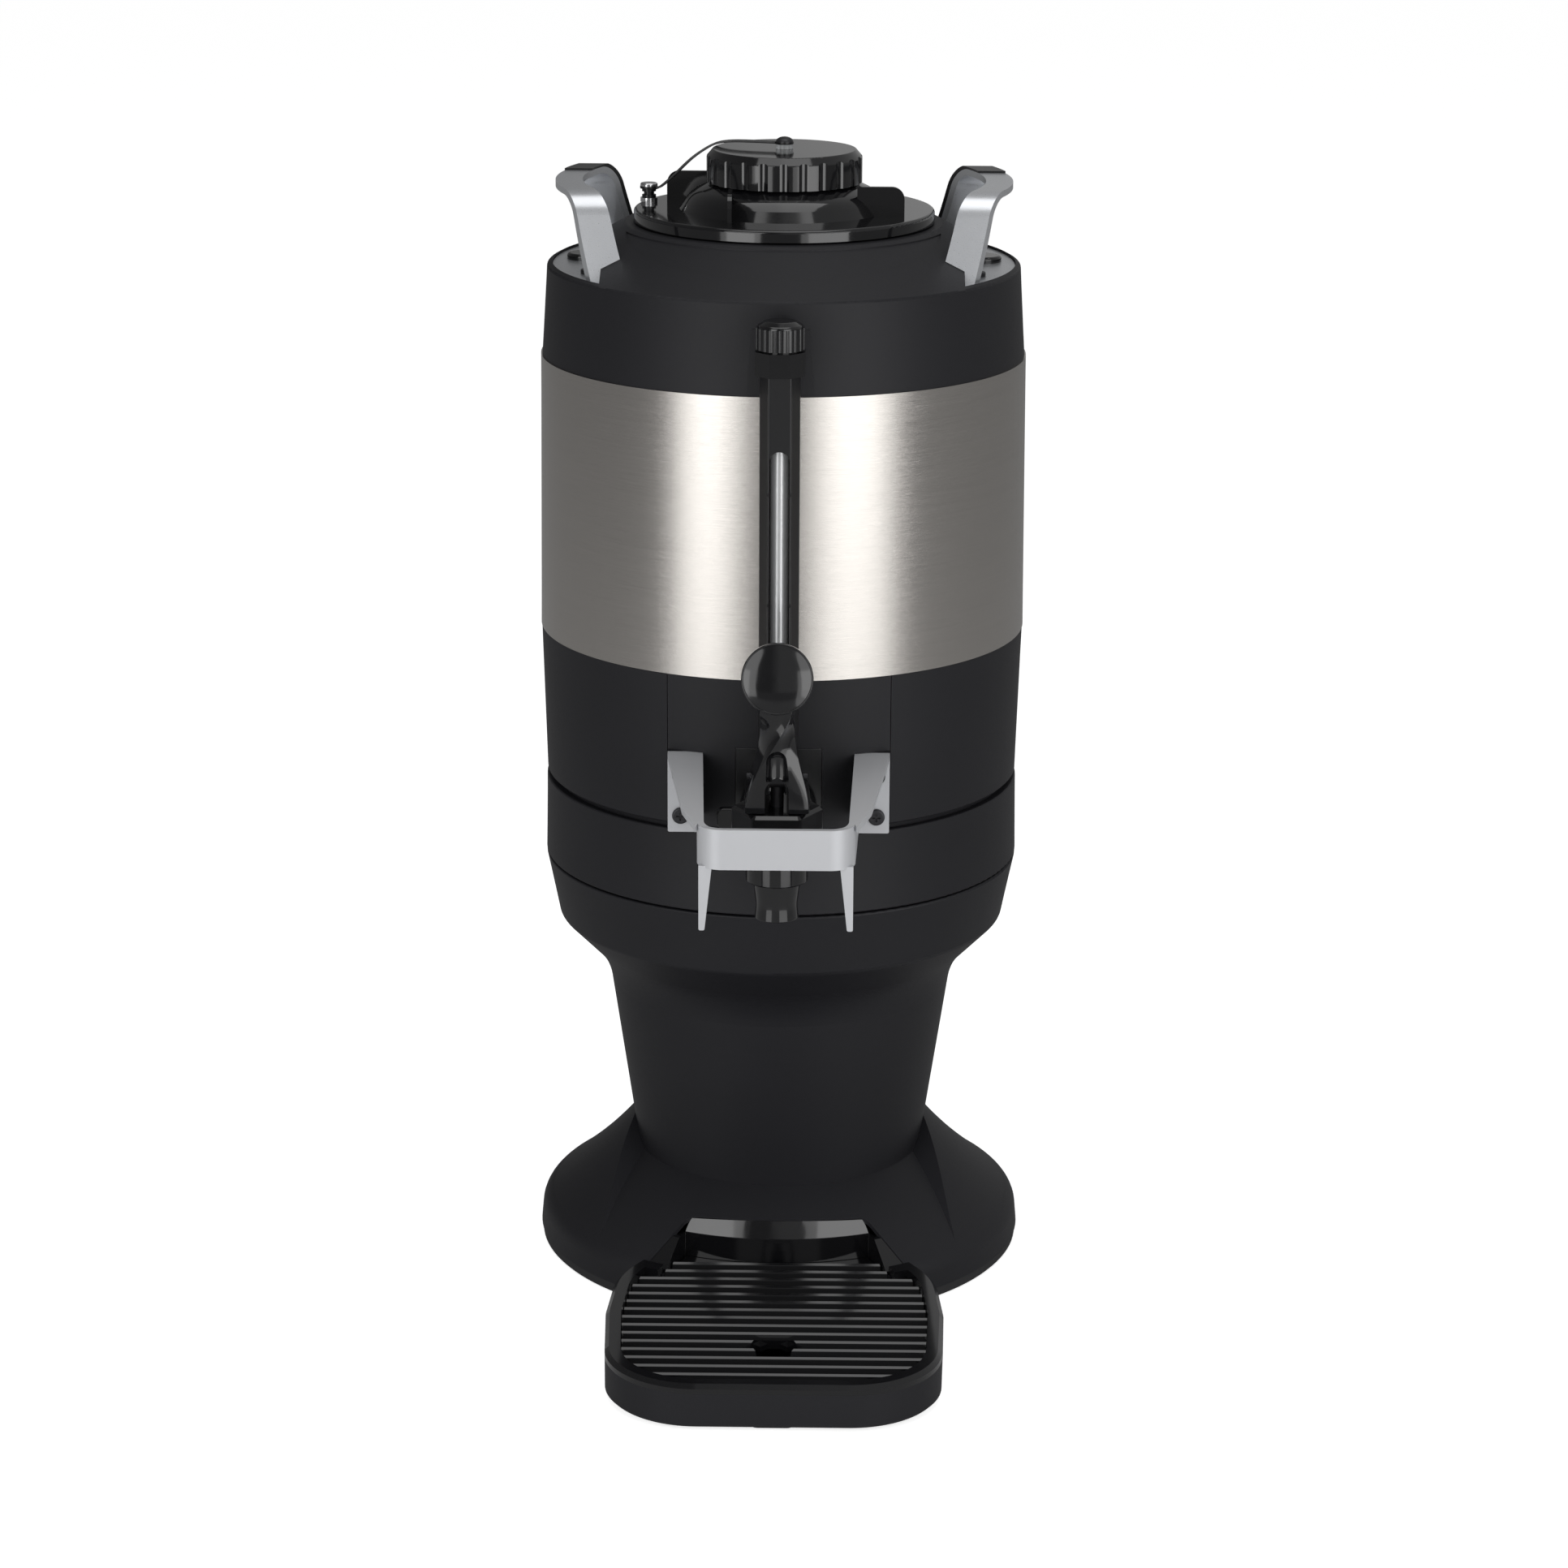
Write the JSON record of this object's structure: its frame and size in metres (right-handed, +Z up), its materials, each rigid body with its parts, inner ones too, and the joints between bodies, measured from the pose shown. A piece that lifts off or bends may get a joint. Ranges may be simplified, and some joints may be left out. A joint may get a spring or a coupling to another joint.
{
  "type": "insulated beverage server",
  "caption": "Insulated coffee server on a pedestal: steel-banded vessel, lift-off lid with screw cap, side handles, level gauge, lever tap with guard and a pull-out drip tray.",
  "frame": {"origin": "on the vessel's axis, in the plane of the foot ring's underside (the table)", "axes": "+Z up, the tap and drip tray towards -Y, +X to the right of someone facing the tap's back"},
  "size_m": [0.2456, 0.3708, 0.5627],
  "materials": {
    "bright_metal": "turned and plated",
    "clear_glass": "clear tube",
    "clear_plastic": "clear plastic",
    "foot_rubber": "matte rubber",
    "gloss_black": "polished",
    "matte_black": "fine-textured matte",
    "screw_black": "blackened",
    "shield_black": "semi-gloss",
    "silicone": "pale silicone",
    "silver_paint": "satin silver paint",
    "stainless": "horizontally brushed",
    "strap_black": "satin moulded strap",
    "trim_black": "matte",
    "vessel_steel": "drawn steel"
  },
  "bodies": {
    "server": {"foot_ring": "foot_rubber", "base_plate": "matte_black", "base_screws": "screw_black", "base_skirt": "matte_black", "notch_insert": "gloss_black", "pedestal_column": "matte_black", "stand_collar": "matte_black", "vessel_cradle": "matte_black", "lower_housing": "matte_black", "front_panel": "matte_black", "escutcheon": "gloss_black", "steel_band": "stainless", "shoulder_housing": "matte_black", "handle_left": "silver_paint", "handle_right": "silver_paint", "handle_trims": "trim_black", "handle_plugs": "gloss_black", "handle_screws": "screw_black", "liner": "vessel_steel", "vacuum_wall": "vessel_steel", "gauge_shield": "shield_black", "gauge_glass": "clear_glass", "gauge_collar": "gloss_black", "gauge_top_seal": "silicone", "shank_tube": "bright_metal", "shank_washer": "silicone", "gauge_base": "gloss_black", "gauge_bottom_seal": "silicone", "shank_nut": "gloss_black", "tap_body": "gloss_black", "bonnet": "gloss_black", "guard": "silver_paint", "guard_screws": "screw_black", "tap_spring": "bright_metal"},
    "lid_seal": {"lid_gasket": "silicone"},
    "lid_group": {"lid": "gloss_black", "mixing_tube": "matte_black", "strap_post": "bright_metal", "strap_spacer": "strap_black", "strap": "strap_black"},
    "cap_swivel": {"swivel_screw": "screw_black", "swivel_washer": "clear_plastic"},
    "cap_group": {"fill_cap": "gloss_black", "cap_seal": "silicone"},
    "gauge_cap_group": {"gauge_cap": "gloss_black"},
    "stem_group": {"tap_stem": "screw_black", "seat_cup": "silicone"},
    "lever_group": {"tap_handle": "gloss_black", "handle_pin": "screw_black"},
    "tray_group": {"drip_tray": "matte_black", "tray_rim": "gloss_black", "tray_feet": "foot_rubber"},
    "grille_group": {"drip_grille": "gloss_black"}
  },
  "joints": [
    {"name": "lid_lift", "type": "slide", "parent": "server", "child": "lid_seal", "axis": [0, 0, 1], "range_m": [0, 0.28]},
    {"name": "lid_turn", "type": "hinge", "parent": "lid_seal", "child": "lid_group", "pos_m": [0, 0, 0.52], "axis": [0, 0, 1], "continuous": true},
    {"name": "cap_lift", "type": "slide", "parent": "lid_group", "child": "cap_swivel", "axis": [0, 0, 1], "range_m": [0, 0.02], "deforming": ["strap"]},
    {"name": "cap_turn", "type": "hinge", "parent": "cap_swivel", "child": "cap_group", "pos_m": [0, 0, 0.55], "axis": [0, 0, 1], "continuous": true},
    {"name": "gauge_cap_turn", "type": "hinge", "parent": "server", "child": "gauge_cap_group", "pos_m": [0, -0.1295, 0.49], "axis": [0, 0, 1], "continuous": true},
    {"name": "stem_lift", "type": "slide", "parent": "server", "child": "stem_group", "axis": [0, 0, 1], "range_m": [0, 0.0043], "stiffness_N_per_m": 2500, "springref_m": -0.004, "deforming": ["tap_spring"]},
    {"name": "lever_turn", "type": "hinge", "parent": "stem_group", "child": "lever_group", "pos_m": [0, -0.163, 0.291], "axis": [1, 0, 0], "range_deg": [0, 22]},
    {"name": "tray_slide", "type": "slide", "parent": "server", "child": "tray_group", "axis": [0, -1, 0], "range_m": [0, 0.12]},
    {"name": "grille_lift", "type": "slide", "parent": "tray_group", "child": "grille_group", "axis": [0, 0, 1], "range_m": [0, 0.06]}
  ],
  "couplings": [
    {"joint": "lever_turn", "follows": "stem_lift", "rad_per_m": 87.72}
  ]
}
